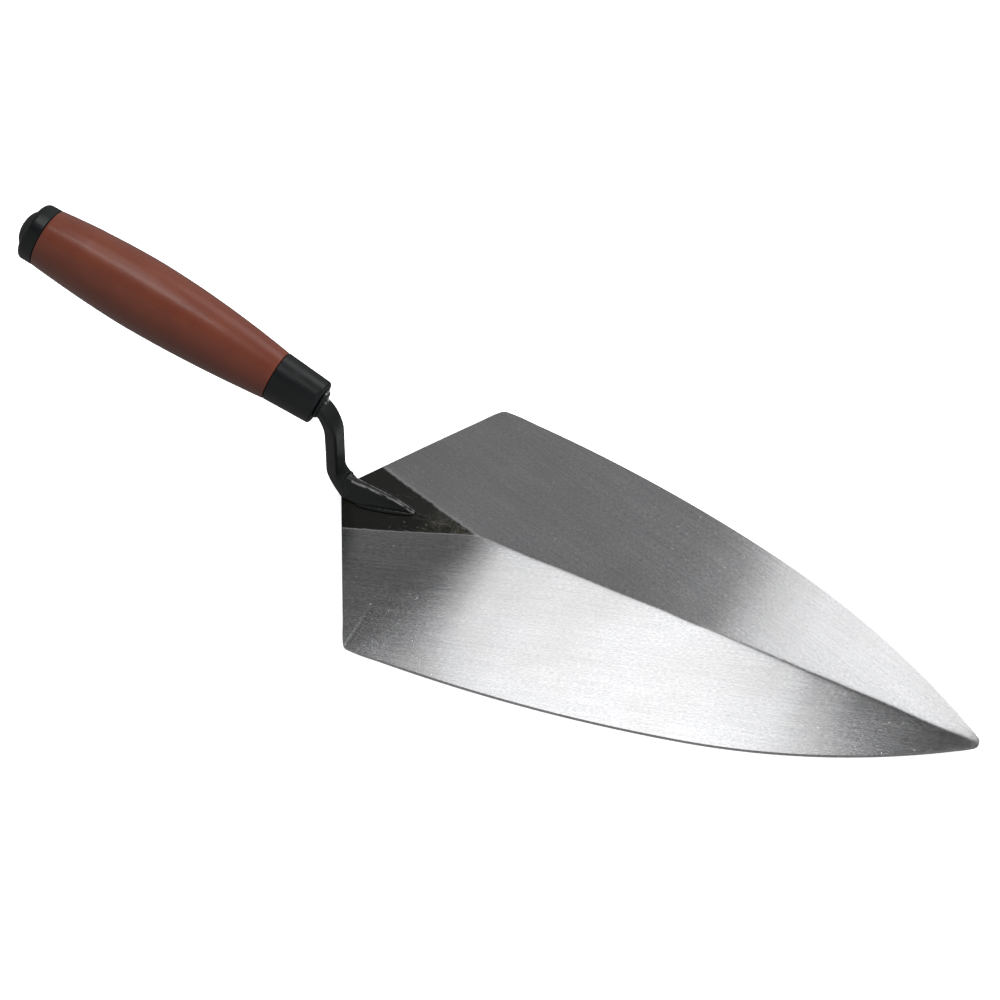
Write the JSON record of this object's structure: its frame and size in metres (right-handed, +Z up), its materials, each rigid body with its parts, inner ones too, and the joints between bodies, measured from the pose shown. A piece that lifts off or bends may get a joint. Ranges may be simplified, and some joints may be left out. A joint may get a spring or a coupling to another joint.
{
  "type": "brick trowel",
  "caption": "Brick trowel: wide kite-shaped steel blade with a creased middle, cranked neck and a soft-grip handle with a black ferrule and domed end cap.",
  "frame": {"origin": "on the table, under the middle of the trowel's overall length and width, with the blade lying on its two long edges", "axes": "+X along the blade from handle to tip, +Y to the blade's left, +Z up"},
  "size_m": [0.4212, 0.1408, 0.0983],
  "materials": {
    "ground_steel": "ground lengthwise, satin, black lacquer on the heel",
    "black_lacquer": "semi-gloss black lacquer on forged steel",
    "black_plastic": "satin moulded plastic",
    "core_plastic": "plain moulded plastic, hidden",
    "grip_rubber": "satin soft rubber, red-brown"
  },
  "bodies": {
    "root": {"blade": "ground_steel", "tang": "black_lacquer", "weld_bead_left": "black_lacquer", "weld_bead_right": "black_lacquer", "ferrule": "black_plastic", "handle_core": "core_plastic", "grip_sleeve": "grip_rubber", "end_cap": "black_plastic"}
  },
  "joints": []
}
